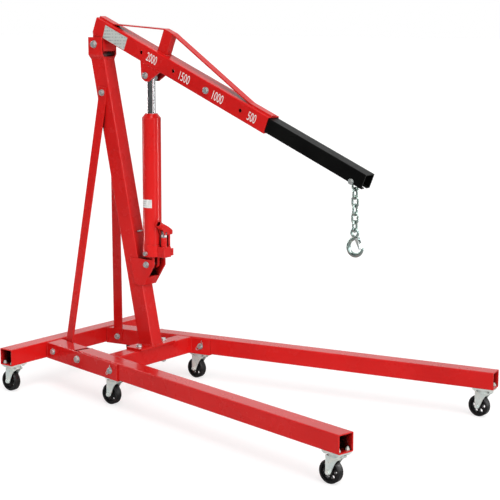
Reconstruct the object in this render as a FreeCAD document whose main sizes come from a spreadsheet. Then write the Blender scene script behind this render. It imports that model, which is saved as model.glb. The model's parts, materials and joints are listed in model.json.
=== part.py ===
import FreeCAD, Part
import math
import os
import re
import Sketcher
from FreeCAD import Placement, Rotation, Vector

# A folding two-tonne engine hoist: a splayed base on six casters, a mast that leans
# back, a boom raised by a hydraulic ram, and a sliding extension with chain and hook.
# Millimetres. +X runs forward along the legs, +Y to the hoist's left, +Z up. The
# origin is on the floor, under the middle of the hoist's length and width.

doc = FreeCAD.newDocument("engine_hoist")
sheet = doc.addObject("Spreadsheet::Sheet", "sizes")

SIZES = {
    # base tubes and side rails
    "tube": 65, "tube_wall": 4, "tube_round": 4, "tube_low": 111,
    "crossbar_front": -770, "crossbar_length": 792, "crossbeam_front": -372,
    "splay": 10.9, "rail_start": 169, "rail_length": 482.5, "rail_inside": 67, "rail_wall": 4,
    "rail_floor": 3, "rail_top": 173, "rail_cover": 186,
    "pin_height": 142, "brace_bolt_along": 49, "lock_along": 439,
    # legs
    "leg_pivot_along": 220.8, "leg_front_along": 1656.2, "leg_gap": 0.5,
    # mast and its brackets
    "lean": 12, "mast_front": -367, "mast_width": 60, "mast_depth": 70, "mast_wall": 4, "mast_top": 1290,
    "foot_thick": 8, "foot_length": 80, "foot_width": 196, "foot_bolt_out": 70, "foot_bolt_back": 28,
    "head_inside": 72, "head_plate": 5, "head_top": 1371, "head_rear": -675, "head_length": 72,
    "head_flare": 13, "pivot_along": -643.5, "pivot_height": 1343.8,
    "cheek": 6, "ram_along": -387.4, "ram_height": 504.4,
    "clip_bore": 16, "clip_sheet": 1.5, "clip_width": 5, "clip_height": 625,
    # braces
    "brace_width": 40, "brace_thick": 6, "brace_tab": 34, "brace_end": 22, "brace_top_height": 1158,
    # boom, measured from its pivot along and square to the boom
    "slope": 22.5, "boom": 64, "boom_wall": 4, "boom_rear": -32, "boom_front": 874,
    "boom_axis": 66.2, "first_hole": 231, "hole_pitch": 172.5, "hole": 14, "pivot_tube": 28,
    "heel_front": 47, "heel_low": -33,
    "strap_width": 30, "strap_thick": 5, "strap_lift": 44, "strap_land": 768,
    "post_start": 291, "post_length": 45, "post_height": 84, "post_wall": 3,
    "ear_bolt_along": 282.7, "ear_bolt_drop": -5.9, "ear_thick": 6,
    "extension": 54, "extension_wall": 4, "extension_start": 540, "extension_end": 1323,
    "chain_bolt_along": 1277, "chain_bolt_up": 46, "chain_slot": 42,
    # chain and hook
    "chain_wire": 8, "link_inside": 14, "link_pitch": 29, "end_link_inside": 34, "chain_gap": 0.4,
    "hook_wire": 9, "hook_eye": 18, "latch_along": 12, "latch_drop": 3, "latch_width": 18, "latch_inside": 15,
    # ram and pump
    "cylinder": 72, "cylinder_wall": 6, "cylinder_top": 563, "gland_top": 582, "rod": 32, "rod_start": 200,
    "rod_eye": 42, "rod_eye_width": 38, "ram_base_low": 31, "ram_base_top": 78, "lug_width": 12, "lug_out": 8,
    "pump_out": 54, "plunger": 12, "plunger_side": 6, "link_side": 32, "link_low": 52, "link_high": 124,
    "link_bar": 10, "link_pin": 6, "lever_width": 24, "lever_inside": 18,
    "socket_bore": 20, "socket_outside": 26, "socket_tilt": 34, "socket_length": 29, "socket_floor": 4,
    "valve_along": 4, "valve_height": 45, "valve_stem": 10, "valve_head": 16,
    # casters
    "wheel": 80, "wheel_width": 28, "wheel_rim": 31, "wheel_web": 10, "wheel_hub": 24, "wheel_hole": 13,
    "wheel_hole_out": 20.5, "trail": 20, "axle": 10, "race": 52, "kingpin": 14,
    "caster_top": 105, "caster_inset": 41.5, "rail_caster_along": 419.6,
    "plate_across": 58, "plate_along": 76, "caster_bolt": 8, "bolt_across": 20, "bolt_along": 29,
    # fasteners and fits
    "pivot_bolt": 14, "ram_bolt": 12, "leg_bolt": 14, "brace_bolt": 12, "foot_bolt": 12,
    "chain_bolt": 10, "fit": 0.1, "running_gap": 0.5,
}
for row, (alias, number) in enumerate(SIZES.items(), 1):
    sheet.set(f"A{row}", alias)
    sheet.set(f"B{row}", str(number))
    sheet.setAlias(f"B{row}", alias)
doc.recompute()


def size(alias):
    """One driving dimension, read back from the sheet."""
    return float(getattr(sheet, alias))


def formula(text):
    """An expression over the sheet, from a formula in the sheet's aliases."""
    def named(word):
        return f"sizes.{word[0]}" if word[0] in SIZES else word[0]

    return re.sub(r"[a-z][a-z_]*", named, str(text))


def bind(thing, **formulas):
    """Bind each named property of a thing to its formula."""
    for name, text in formulas.items():
        thing.setExpression(name, formula(text))
    return thing


def bind_place(thing, start):
    """Bind the position of a thing to three formulas."""
    for direction, text in zip("xyz", start):
        thing.setExpression(f".Placement.Base.{direction}", formula(text))
    return thing


X, Y, Z = Vector(1, 0, 0), Vector(0, 1, 0), Vector(0, 0, 1)
SIDES = {"left": 1, "right": -1}
CASTER_BOLTS = [(f"{along} * bolt_along", f"{across} * bolt_across")
                for along in (1, -1) for across in (1, -1)]


def frame(origin, axis=Z, angle=0):
    return Placement(origin, Rotation(axis, angle))


# ---- the hoist's own frames -------------------------------------------------------------
TUBE_TOP = size("tube_low") + size("tube")
FOOT_TOP = TUBE_TOP + size("foot_thick")
PIVOT = Vector(size("pivot_along"), 0, size("pivot_height"))
BOOM_FRAME = frame(PIVOT, Y, size("slope"))
RAM_FOOT = Vector(size("ram_along"), 0, size("ram_height"))
RAM_HEAD = BOOM_FRAME.multVec(Vector(size("ear_bolt_along"), 0, size("ear_bolt_drop")))
RAM_REACH = (RAM_HEAD - RAM_FOOT).Length
RAM_TILT = math.degrees(math.atan2(RAM_HEAD.x - RAM_FOOT.x, RAM_HEAD.z - RAM_FOOT.z))
RAM_FRAME = frame(RAM_FOOT, Y, RAM_TILT)
CHAIN_TOP = BOOM_FRAME.multVec(Vector(size("chain_bolt_along"), 0, size("chain_bolt_up")))


def rail_frame(side):
    """Along a rail from the crossbar's front face, with Y square to the rail."""
    return frame(Vector(size("crossbar_front"), side * size("rail_start"), 0), Z, side * size("splay"))


def rail_point(side, along, height):
    return rail_frame(side).multVec(Vector(along, 0, height))


def mast_front_at(height):
    return size("mast_front") - math.tan(math.radians(size("lean"))) * (height - FOOT_TOP)


# ---- sketch and solid helpers -----------------------------------------------------------
finished = []


def finish(thing, label, placement=None):
    """Name a finished sub-part and put it in its place."""
    thing.Label = label
    if placement is not None:
        thing.Placement = placement
    finished.append(thing)
    return thing


def new_body(name):
    return doc.addObject("PartDesign::Body", name)


def new_sketch(body, role):
    sketch = body.newObject("Sketcher::SketchObject", f"{body.Name}_sketch")
    plane = next(item for item in body.Origin.OriginFeatures if item.Role == role)
    sketch.AttachmentSupport = (plane, "")
    sketch.MapMode = "FlatFace"
    return sketch


def polygon(sketch, corners):
    """A closed outline whose corners are formulas, each tied to the sketch's origin."""
    first = sketch.GeometryCount
    count = len(corners)
    rough = [Vector(10 * math.cos(2 * math.pi * k / count), 10 * math.sin(2 * math.pi * k / count), 0)
             for k in range(count)]
    for k in range(count):
        sketch.addGeometry(Part.LineSegment(rough[k], rough[(k + 1) % count]))
    for k in range(count):
        following = first + (k + 1) % count
        sketch.addConstraint(Sketcher.Constraint("Coincident", first + k, 2, following, 1))
    for k, corner in enumerate(corners):
        for kind, rough_value, text in zip(("DistanceX", "DistanceY"), rough[k], corner):
            index = sketch.addConstraint(Sketcher.Constraint(kind, -1, 1, first + k, 1, rough_value))
            sketch.setExpression(f"Constraints[{index}]", formula(text))


def circle(sketch, across, up, radius):
    """A circle whose centre and radius are formulas."""
    index = sketch.addGeometry(Part.Circle(Vector(3, 2, 0), Z, 1.0))
    places = (("DistanceX", 3.0, across), ("DistanceY", 2.0, up))
    for kind, rough_value, text in places:
        place = sketch.addConstraint(Sketcher.Constraint(kind, -1, 1, index, 3, rough_value))
        sketch.setExpression(f"Constraints[{place}]", formula(text))
    width = sketch.addConstraint(Sketcher.Constraint("Radius", index, 1.0))
    sketch.setExpression(f"Constraints[{width}]", formula(radius))


def pad(body, role, thickness, corners=(), circles=()):
    """Material both sides of a plane, from an outline and circles."""
    sketch = new_sketch(body, role)
    if corners:
        polygon(sketch, corners)
    for values in circles:
        circle(sketch, *values)
    feature = body.newObject("PartDesign::Pad", f"{body.Name}_pad")
    feature.Profile = sketch
    feature.SideType = "Symmetric"
    bind(feature, Length=thickness)
    return feature


def pocket(body, role, thickness, corners=(), circles=()):
    """Cut both sides of a plane, and make sure that something was cut."""
    doc.recompute()
    before = body.Shape.Volume
    sketch = new_sketch(body, role)
    if corners:
        polygon(sketch, corners)
    for values in circles:
        circle(sketch, *values)
    feature = body.newObject("PartDesign::Pocket", f"{body.Name}_pocket")
    feature.Profile = sketch
    feature.SideType = "Symmetric"
    bind(feature, Length=thickness)
    doc.recompute()
    if not body.Shape.Volume < before - 0.01:
        raise ValueError(f"{body.Name}: a pocket cut nothing")
    return feature


def round_edges(body, direction, radius, keep=lambda edge: True):
    """Round the straight edges of a body that run along a direction."""
    doc.recompute()
    base = body.Tip
    names = []
    for number, edge in enumerate(base.Shape.Edges, 1):
        if isinstance(edge.Curve, (Part.Line, Part.LineSegment)):
            run = (edge.lastVertex().Point - edge.firstVertex().Point).normalize()
            if run.cross(direction).Length < 0.01 and keep(edge):
                names.append(f"Edge{number}")
    feature = body.newObject("PartDesign::Fillet", f"{body.Name}_round")
    feature.Base = (base, names)
    bind(feature, Radius=radius)
    return feature


def rectangle(low_x, high_x, low_y, high_y):
    return [(low_x, low_y), (high_x, low_y), (high_x, high_y), (low_x, high_y)]


def block(name, length, width, height, corner=(0, 0, 0)):
    thing = doc.addObject("Part::Box", name)
    bind(thing, Length=length, Width=width, Height=height)
    return bind_place(thing, corner)


def rod(name, radius, height, start=(0, 0, 0), axis=Z):
    """A cylinder that starts at a point of formulas and runs along an axis."""
    thing = doc.addObject("Part::Cylinder", name)
    thing.Placement = Placement(Vector(), Rotation(Z, axis))
    bind(thing, Radius=radius, Height=height)
    return bind_place(thing, start)


def hexagon(name, radius, height, start=(0, 0, 0), axis=Z, outer="high"):
    """A hexagon whose corners are chamfered by a cone at its outer face."""
    prism = doc.addObject("Part::Prism", f"{name}_prism")
    prism.Polygon = 6
    bind(prism, Circumradius=radius, Height=height)
    cone = doc.addObject("Part::Cone", f"{name}_cone")
    narrow, wide = f"0.83 * ({radius})", f"0.83 * ({radius}) + 1.73 * ({height})"
    ends = (wide, narrow) if outer == "high" else (narrow, wide)
    bind(cone, Radius1=ends[0], Radius2=ends[1], Height=height)
    thing = doc.addObject("Part::Common", name)
    thing.Base = prism
    thing.Tool = cone
    thing.Placement = Placement(Vector(), Rotation(Z, axis))
    return bind_place(thing, start)


def fused(name, *things):
    whole = doc.addObject("Part::MultiFuse", name)
    whole.Shapes = list(things)
    whole.Refine = True
    return whole


def cut(name, base, tool):
    whole = doc.addObject("Part::Cut", name)
    whole.Base = base
    whole.Tool = tool
    return whole


def gathered(name, things):
    """Separate solids that share one node."""
    whole = doc.addObject("Part::Compound", name)
    whole.Links = list(things)
    return whole


def bolt(name, diameter, grip, placement):
    """A hexagon bolt with washers and nut: Z runs along the shank, and the grip starts at Z 0."""
    corner, washer_radius, washer_thick = f"0.9 * {diameter}", f"1.05 * {diameter}", 2
    head_high, nut_high = f"0.6 * {diameter}", f"0.8 * {diameter}"
    head_start = (0, 0, f"0 - {washer_thick} - {head_high}")
    head = hexagon(f"{name}_head", corner, head_high, head_start, outer="low")
    washer = rod(f"{name}_washer", washer_radius, washer_thick, (0, 0, f"0 - {washer_thick}"))
    reach = f"{grip} + 3 * {washer_thick} + {nut_high}"
    shank = rod(f"{name}_shank", f"{diameter} / 2", reach, (0, 0, f"0 - {washer_thick}"))
    far_washer = rod(f"{name}_far_washer", washer_radius, washer_thick, (0, 0, grip))
    nut = hexagon(f"{name}_nut", corner, nut_high, (0, 0, f"{grip} + {washer_thick}"))
    whole = fused(name, head, washer, shank, far_washer, nut)
    whole.Placement = placement
    return whole


def stub_bolt(name, diameter, grip, wall, placement):
    """A through bolt that shows at both walls but leaves the space between them clear."""
    whole = bolt(f"{name}_whole", diameter, grip, Placement())
    clear = rod(f"{name}_clear", f"{diameter}", f"{grip} - 2 * {wall}", (0, 0, wall))
    ends = cut(name, whole, clear)
    ends.Placement = placement
    return ends


# ---- base: crossbar, rails, crossbeam ---------------------------------------------------
def rear_crossbar():
    """A square tube, open at both ends, across the back of the base."""
    body = new_body("rear_crossbar")
    middle = "tube_low + tube / 2"
    rear, front = "crossbar_front - tube", "crossbar_front"
    pad(body, "XZ_Plane", "crossbar_length", rectangle(rear, front, "tube_low", "tube_low + tube"))
    round_edges(body, Y, "tube_round")
    pocket(body, "XZ_Plane", "crossbar_length + 2",
           rectangle(f"{rear} + tube_wall", f"{front} - tube_wall",
                     "tube_low + tube_wall", "tube_low + tube - tube_wall"))
    bolt_out = "(crossbar_length / 2 - caster_inset)"
    holes = [(f"{front} - tube / 2 + {across}", f"{sign} * {bolt_out} + {along}", "caster_bolt / 2 + fit")
             for sign in (1, -1) for along, across in CASTER_BOLTS]
    pocket(body, "XY_Plane", f"2 * ({middle})", circles=holes)
    return finish(body, "rear_crossbar")


def rail(label, side):
    """A channel that the leg lies in: closed over its back part, open on top in front."""
    body = new_body(label)
    outside = "rail_inside / 2 + rail_wall"
    low = "tube_low - rail_floor"
    slant = f"{side} * tan(splay)"
    pad(body, "XY_Plane", "2 * rail_top",
        [(f"({outside}) * {slant}", outside), ("rail_length", outside),
         ("rail_length", f"0 - ({outside})"), (f"0 - ({outside}) * {slant}", f"0 - ({outside})")])
    pocket(body, "XZ_Plane", "4 * rail_inside", rectangle(-90, "rail_length + 9", "0 - rail_top - 1", low))
    round_edges(body, X, "rail_floor")
    pocket(body, "XZ_Plane", "rail_inside",
           [("0 - rail_inside", "tube_low"), ("rail_length + 9", "tube_low"),
            ("rail_length + 9", "rail_top + 9"), ("rail_cover", "rail_top + 9"),
            ("rail_cover", "rail_top - rail_wall"), ("0 - rail_inside", "rail_top - rail_wall")])
    pocket(body, "XZ_Plane", "4 * rail_inside",
           circles=[("leg_pivot_along", "tube_low + tube / 2 + leg_gap", "leg_bolt / 2 + fit"),
                    ("lock_along", "pin_height", "brace_bolt / 2 + fit"),
                    ("brace_bolt_along", "pin_height", "brace_bolt / 2 + fit")])
    holes = [(f"rail_caster_along + {along}", across, "caster_bolt / 2 + fit")
             for along, across in CASTER_BOLTS]
    pocket(body, "XY_Plane", "2 * tube_low + 2", circles=holes)
    return finish(body, label, rail_frame(side))


def front_crossbeam():
    """The tube between the rails that carries the mast, with ends cut to the rails' splay."""
    body = new_body("front_crossbeam")
    rear, front = "crossbeam_front - tube", "crossbeam_front"
    reach = {}
    for name, place in (("rear", rear), ("front", front)):
        along = f"({place} - crossbar_front)"
        reach[name] = f"(rail_start + {along} * tan(splay) - (rail_inside / 2 + rail_wall) / cos(splay))"
    pad(body, "XY_Plane", "2 * (tube_low + tube)",
        [(rear, f"0 - {reach['rear']}"), (front, f"0 - {reach['front']}"),
         (front, reach["front"]), (rear, reach["rear"])])
    pocket(body, "XZ_Plane", "2 * crossbar_length",
           rectangle(f"{rear} - 5", f"{front} + 5", "0 - tube_low - tube - 1", "tube_low"))
    round_edges(body, Y, "tube_round")
    pocket(body, "XZ_Plane", "2 * crossbar_length",
           rectangle(f"{rear} + tube_wall", f"{front} - tube_wall",
                     "tube_low + tube_wall", "tube_low + tube - tube_wall"))
    pocket(body, "XY_Plane", "2 * (tube_low + tube) + 2",
           circles=[(f"{front} - foot_bolt_back", f"{sign} * foot_bolt_out", "foot_bolt / 2 + fit")
                    for sign in (1, -1)])
    return finish(body, "front_crossbeam")


# ---- mast and what is welded or bolted to it --------------------------------------------
def mast_foot_plate():
    body = new_body("mast_foot_plate")
    front = "crossbeam_front + 10"
    pad(body, "XY_Plane", "2 * foot_thick",
        rectangle(f"{front} - foot_length", front, "0 - foot_width / 2", "foot_width / 2"))
    pocket(body, "XZ_Plane", "2 * foot_width",
           rectangle("crossbeam_front - 2 * foot_length", "crossbeam_front + foot_length", "0 - 20", 0))
    pocket(body, "XY_Plane", "4 * foot_thick",
           circles=[("crossbeam_front - foot_bolt_back", f"{sign} * foot_bolt_out", "foot_bolt / 2 + fit")
                    for sign in (1, -1)])
    return finish(body, "mast_foot_plate", frame(Vector(0, 0, TUBE_TOP)))


def mast():
    """A rectangular tube that leans back, cut level at its foot and at its head."""
    body = new_body("mast")
    foot = "(tube_low + tube + foot_thick)"
    lean_back = f"(mast_top - {foot}) * tan(lean)"
    deep = "mast_depth / cos(lean)"
    wall = "mast_wall / cos(lean)"

    def level_cut(inset, low, high):
        front, rear = f"mast_front - {inset}", f"mast_front - {deep} + {inset}"
        return [(front, low), (f"{front} - {lean_back}", high), (f"{rear} - {lean_back}", high), (rear, low)]

    pad(body, "XZ_Plane", "mast_width", level_cut("0", foot, "mast_top"))
    lean = math.radians(size("lean"))
    round_edges(body, Vector(-math.sin(lean), 0, math.cos(lean)), "tube_round")
    pocket(body, "XZ_Plane", "mast_width - 2 * mast_wall", level_cut(wall, foot, "mast_top"))
    top_bolt = f"mast_front - (brace_top_height - {foot}) * tan(lean) - {deep} / 2"
    pocket(body, "XZ_Plane", "2 * mast_width",
           circles=[(top_bolt, "brace_top_height", "brace_bolt / 2 + fit")])
    return finish(body, "mast")


def mast_head_bracket():
    """A bent saddle on the mast's head: two upright cheeks that hold the boom's pivot."""
    body = new_body("mast_head_bracket")
    outside = "(head_inside / 2 + head_plate)"
    inside = "(head_inside / 2)"
    narrow = "(mast_width / 2)"
    flare, floor = "mast_top + head_flare", "mast_top + head_plate + 1"
    pad(body, "YZ_Plane", "2 * (0 - head_rear)",
        [(f"0 - {outside}", "head_top"), (f"0 - {outside}", flare), (f"0 - {narrow}", "mast_top"),
         (narrow, "mast_top"), (outside, flare), (outside, "head_top"),
         (inside, "head_top"), (inside, f"{flare} + 2"), (f"{narrow} - 3", floor),
         (f"3 - {narrow}", floor), (f"0 - {inside}", f"{flare} + 2"), (f"0 - {inside}", "head_top")])
    pocket(body, "XZ_Plane", "3 * head_inside",
           rectangle("head_rear + head_length", "0 - head_rear + 5", "mast_top - 5", "head_top + 5"))
    pocket(body, "XZ_Plane", "3 * head_inside",
           circles=[("pivot_along", "pivot_height", "pivot_bolt / 2 + fit")])
    return finish(body, "mast_head_bracket")


def ram_base_bracket():
    """Two cheeks on the mast's sides with a short sloping web, holding the ram's foot."""
    body = new_body("ram_base_bracket")
    outside = "(mast_width + 2 * cheek)"
    low, high, shoulder = "ram_height - 84", "ram_height + 20", "ram_height - 5"
    toe, nose = "ram_along - 17", "ram_along + 35"
    web_top, web = "ram_height - 47", 7
    foot = "(tube_low + tube + foot_thick)"

    def mast_middle(height):
        return f"mast_front - ({height} - {foot}) * tan(lean) - mast_depth / 2"

    pad(body, "XZ_Plane", outside,
        [(mast_middle(low), low), (toe, low), (nose, shoulder), (nose, high), (mast_middle(high), high)])
    far, beyond = "ram_along - 150", "ram_along + 60"
    pocket(body, "XZ_Plane", "mast_width",
           [(far, f"{low} - 16"), (f"{toe} - 1.5 * {web}", f"{low} - 16"), (f"{toe} - {web}", low),
            ("ram_along", web_top), (f"{beyond} - 33", f"{web_top} - 13"), (beyond, shoulder),
            (beyond, f"{high} + 20"), (far, f"{high} + 20")])
    pocket(body, "XZ_Plane", f"2 * {outside}", circles=[("ram_along", "ram_height", "ram_bolt / 2 + fit")])
    return finish(body, "ram_base_bracket")


def handle_clip():
    """A sprung steel clip on the mast's front face that stores the pump handle."""
    clip = new_body("handle_clip_spring")
    outer, inner = "(clip_bore / 2 + clip_sheet)", "(clip_bore / 2)"
    pad(clip, "XY_Plane", "clip_width", circles=[(outer, 0, outer)])
    pocket(clip, "XY_Plane", "2 * clip_width", circles=[(outer, 0, inner)])
    mouth_start, mouth_end = f"1.5 * {outer}", f"3 * {outer}"
    pocket(clip, "XY_Plane", "2 * clip_width",
           [(mouth_start, "0 - clip_bore / 3"), (mouth_end, "0 - clip_bore / 2"),
            (mouth_end, "clip_bore / 2"), (mouth_start, "clip_bore / 3")])
    foot = block("handle_clip_foot", "clip_sheet", "clip_bore", "clip_width",
                 (0, "0 - clip_bore / 2", "0 - clip_width / 2"))
    place = Vector(mast_front_at(size("clip_height")), 0, size("clip_height"))
    return finish(fused("handle_clip", clip, foot), "handle_clip", frame(place, Y, -size("lean")))


def brace(label, side):
    """A flat bar from the mast's side down to the rail's inner wall, with its ends bent flat."""
    deep = size("mast_depth") / math.cos(math.radians(size("lean")))
    top = Vector(mast_front_at(size("brace_top_height")) - deep / 2,
                 side * size("mast_width") / 2, size("brace_top_height"))
    inner_wall = -side * (size("rail_inside") / 2 + size("rail_wall"))
    bottom = rail_frame(side).multVec(Vector(size("brace_bolt_along"), inner_wall, size("pin_height")))
    top_out, bottom_out = Vector(0, side, 0), rail_frame(side).Rotation.multVec(Vector(0, -side, 0))
    wide, thick = size("brace_width"), size("brace_thick")
    tab, end = size("brace_tab"), size("brace_end")
    along = (bottom - top).normalize()

    def section(middle, out, lengthways):
        """A rectangle across the bar, from its inner face outwards."""
        across = out.cross(lengthways).normalize() * (wide / 2)
        deep_side = out * thick
        corners = [middle - across, middle + across, middle + across + deep_side, middle - across + deep_side]
        return Part.makePolygon(corners + corners[:1])

    flat = Vector(along.x, 0, along.z).normalize()
    level = bottom_out.cross(bottom_out.cross(along)).normalize() * -1
    sections = [section(top - flat * end, top_out, flat), section(top + flat * tab, top_out, flat),
                section(bottom - level * tab, bottom_out, level),
                section(bottom + level * end, bottom_out, level)]
    spans = [Part.makeLoft(list(pair), True, True) for pair in zip(sections, sections[1:])]
    shape = spans[0].fuse(spans[1:]).removeSplitter()
    radius = size("brace_bolt") / 2 + size("fit")
    for centre, out in ((top, top_out), (bottom, bottom_out)):
        shape = shape.cut(Part.makeCylinder(radius, 4 * thick, centre - out * 2 * thick, out))
    thing = doc.addObject("Part::Feature", label)
    thing.Shape = shape
    return finish(thing, label)


# ---- legs -------------------------------------------------------------------------------
def leg(label, side):
    """A square tube with a round back end, open in front, that swings up about its bolt."""
    body = new_body(label)
    low = "(tube_low + leg_gap)"
    middle = f"({low} + tube / 2)"
    pad(body, "XZ_Plane", "tube", rectangle("leg_pivot_along", "leg_front_along", low, f"{low} + tube"))
    round_edges(body, X, "tube_round")
    pad(body, "XZ_Plane", "tube", circles=[("leg_pivot_along", middle, "tube / 2")])
    pocket(body, "XZ_Plane", "tube - 2 * tube_wall",
           rectangle("leg_pivot_along - tube / 4", "leg_front_along + 5",
                     f"{low} + tube_wall", f"{low} + tube - tube_wall"))
    pocket(body, "XZ_Plane", "2 * tube",
           circles=[("leg_pivot_along", middle, "leg_bolt / 2 + fit"),
                    ("lock_along", "pin_height", "brace_bolt / 2 + running_gap")])
    holes = [(f"leg_front_along - caster_inset + {along}", across, "caster_bolt / 2 + fit")
             for along, across in CASTER_BOLTS]
    pocket(body, "XY_Plane", f"2 * {middle}", circles=holes)
    return finish(body, label, rail_frame(side))


# ---- boom -------------------------------------------------------------------------------
def boom():
    """A square tube, open at both ends, with four rows of holes for the extension's bolt."""
    body = new_body("boom")
    half = "boom / 2"
    pad(body, "XZ_Plane", "boom",
        rectangle("boom_rear", "boom_front", f"boom_axis - {half}", f"boom_axis + {half}"))
    round_edges(body, X, "tube_round")
    pocket(body, "XZ_Plane", "boom - 2 * boom_wall",
           rectangle("boom_rear - 5", "boom_front + 5", f"boom_axis - {half} + boom_wall",
                     f"boom_axis + {half} - boom_wall"))
    holes = [(f"first_hole + {step} * hole_pitch", "boom_axis", "hole / 2") for step in range(4)]
    pocket(body, "XZ_Plane", "2 * boom", circles=holes)
    return finish(body, "boom", BOOM_FRAME)


def boom_heel():
    """A folded box under the boom's back end that drops between the mast head's cheeks."""
    body = new_body("boom_heel")
    under = "boom_axis - boom / 2"
    sheet_metal = 6
    outline = [("0 - 1", "heel_low"), ("heel_front - 12", "heel_low + 15"),
               ("heel_front - 2", "heel_low + 23"), ("heel_front", "0 - 2"),
               ("heel_front - 19", under), ("boom_rear + 3", under)]
    inside = [("boom_rear - 13", "2 * heel_low"), ("heel_front - 21", "2 * heel_low"),
              ("heel_front - 10", "0 - 12"), ("heel_front - 27", f"{under} + {sheet_metal}"),
              ("boom_rear - 23", f"{under} + {sheet_metal}")]
    pad(body, "XZ_Plane", "boom", outline)
    pocket(body, "XZ_Plane", f"boom - 2 * {sheet_metal}", inside)
    pocket(body, "XZ_Plane", "2 * boom", circles=[(0, 0, "pivot_tube / 2")])
    return finish(body, "boom_heel", BOOM_FRAME)


def boom_pivot_tube():
    """The tube through the heel that turns on the pivot bolt."""
    body = new_body("boom_pivot_tube")
    pad(body, "XZ_Plane", "head_inside - 2 * running_gap", circles=[(0, 0, "pivot_tube / 2")])
    pocket(body, "XZ_Plane", "2 * head_inside", circles=[(0, 0, "pivot_bolt / 2 + fit")])
    return finish(body, "boom_pivot_tube", BOOM_FRAME)


def boom_truss():
    """Two flat bars that rise from the boom's ends to the capped top of a short upright tube."""
    top = "(boom_axis + boom / 2)"
    peak = f"({top} + post_height)"
    post_end = "post_start + post_length"
    runs = {"rear": [("boom_rear", top), ("strap_lift", top), ("post_start", peak)],
            "front": [(post_end, peak), ("strap_land", top), ("boom_front", top)]}
    bars = []
    for name, stations in runs.items():
        bar = new_body(f"boom_strap_{name}")
        upper = [(along, f"{height} + strap_thick") for along, height in reversed(stations)]
        pad(bar, "XZ_Plane", "strap_width", stations + upper)
        bars.append(bar)
    post = new_body("boom_post")
    pad(post, "XZ_Plane", "strap_width", rectangle("post_start", post_end, top, f"{peak} + strap_thick"))
    pocket(post, "XZ_Plane", "strap_width - 2 * post_wall",
           rectangle("post_start + post_wall", f"{post_end} - post_wall", f"{top} - 5", peak))
    return finish(gathered("boom_truss", bars + [post]), "boom_truss", BOOM_FRAME)


def ram_ears():
    """Two plates under the boom that hold the ram rod's eye, tied by a strip at the back."""
    body = new_body("ram_ears")
    under = "boom_axis - boom / 2"
    along, drop = "ear_bolt_along", "ear_bolt_drop"
    pad(body, "XZ_Plane", "boom",
        [(f"{along} - 43", under), (f"{along} - 21", f"{drop} - 6"), (f"{along} - 13", f"{drop} - 17"),
         (f"{along} + 6", f"{drop} - 21"), (f"{along} + 21", f"{drop} - 16"),
         (f"{along} + 56", f"{under} - 6"), (f"{along} + 60", under)])
    pocket(body, "XZ_Plane", "boom - 2 * ear_thick",
           rectangle(f"{along} - 60", f"{along} + 80", f"{drop} - 40", f"{under} - 4"))
    pocket(body, "XZ_Plane", "2 * boom", circles=[(along, drop, "ram_bolt / 2 + fit")])
    return finish(body, "ram_ears", BOOM_FRAME)


def boom_extension():
    """The inner tube that slides in the boom, slotted underneath for the chain."""
    body = new_body("boom_extension")
    half = "extension / 2"
    pad(body, "XZ_Plane", "extension",
        rectangle("extension_start", "extension_end", f"boom_axis - {half}", f"boom_axis + {half}"))
    round_edges(body, X, "tube_round")
    pocket(body, "XZ_Plane", "extension - 2 * extension_wall",
           rectangle("extension_start - 5", "extension_end + 5", f"boom_axis - {half} + extension_wall",
                     f"boom_axis + {half} - extension_wall"))
    pocket(body, "XZ_Plane", "2 * extension",
           circles=[("first_hole + 2 * hole_pitch", "boom_axis", "hole / 2"),
                    ("chain_bolt_along", "chain_bolt_up", "chain_bolt / 2 + fit")])
    pocket(body, "XZ_Plane", "2 * chain_wire",
           rectangle("chain_bolt_along - chain_slot", "extension_end + 5", f"boom_axis - {half} - 5",
                     "chain_bolt_up - 1"))
    return finish(body, "boom_extension", BOOM_FRAME)


# ---- chain and hook ---------------------------------------------------------------------
def link_shape(inside_length):
    """A chain link in the XZ plane, centred, from a round wire swept along a stadium."""
    radius = size("link_inside") / 2 + size("chain_wire") / 2
    straight = (inside_length + size("chain_wire")) / 2 - radius
    low_left, low_right = Vector(-radius, 0, -straight), Vector(radius, 0, -straight)
    high_left, high_right = Vector(-radius, 0, straight), Vector(radius, 0, straight)
    path = Part.Wire([
        Part.LineSegment(low_right, high_right).toShape(),
        Part.Arc(high_right, Vector(0, 0, straight + radius), high_left).toShape(),
        Part.LineSegment(high_left, low_left).toShape(),
        Part.Arc(low_left, Vector(0, 0, -straight - radius), low_right).toShape()])
    section = Part.Wire([Part.makeCircle(size("chain_wire") / 2, low_right, Z)])
    return path.makePipeShell([section], True, False)


def chain():
    """Six links below the chain bolt, turned a quarter turn one after the next."""
    wire, gap = size("chain_wire"), size("chain_gap")
    resting = CHAIN_TOP.z + size("chain_bolt") / 2 + gap
    for number in range(1, 7):
        inside_length = size("end_link_inside") if number == 1 else size("link_pitch")
        middle = resting - inside_length / 2
        thing = doc.addObject("Part::Feature", f"chain_link_{number}")
        thing.Shape = link_shape(inside_length)
        quarter = 90 * ((number + 1) % 2)
        finish(thing, f"chain_link_{number}", frame(Vector(CHAIN_TOP.x, 0, middle), Z, quarter))
        resting = middle - inside_length / 2 + gap
    return Vector(CHAIN_TOP.x, 0, resting - size("hook_eye") / 2)


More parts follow.
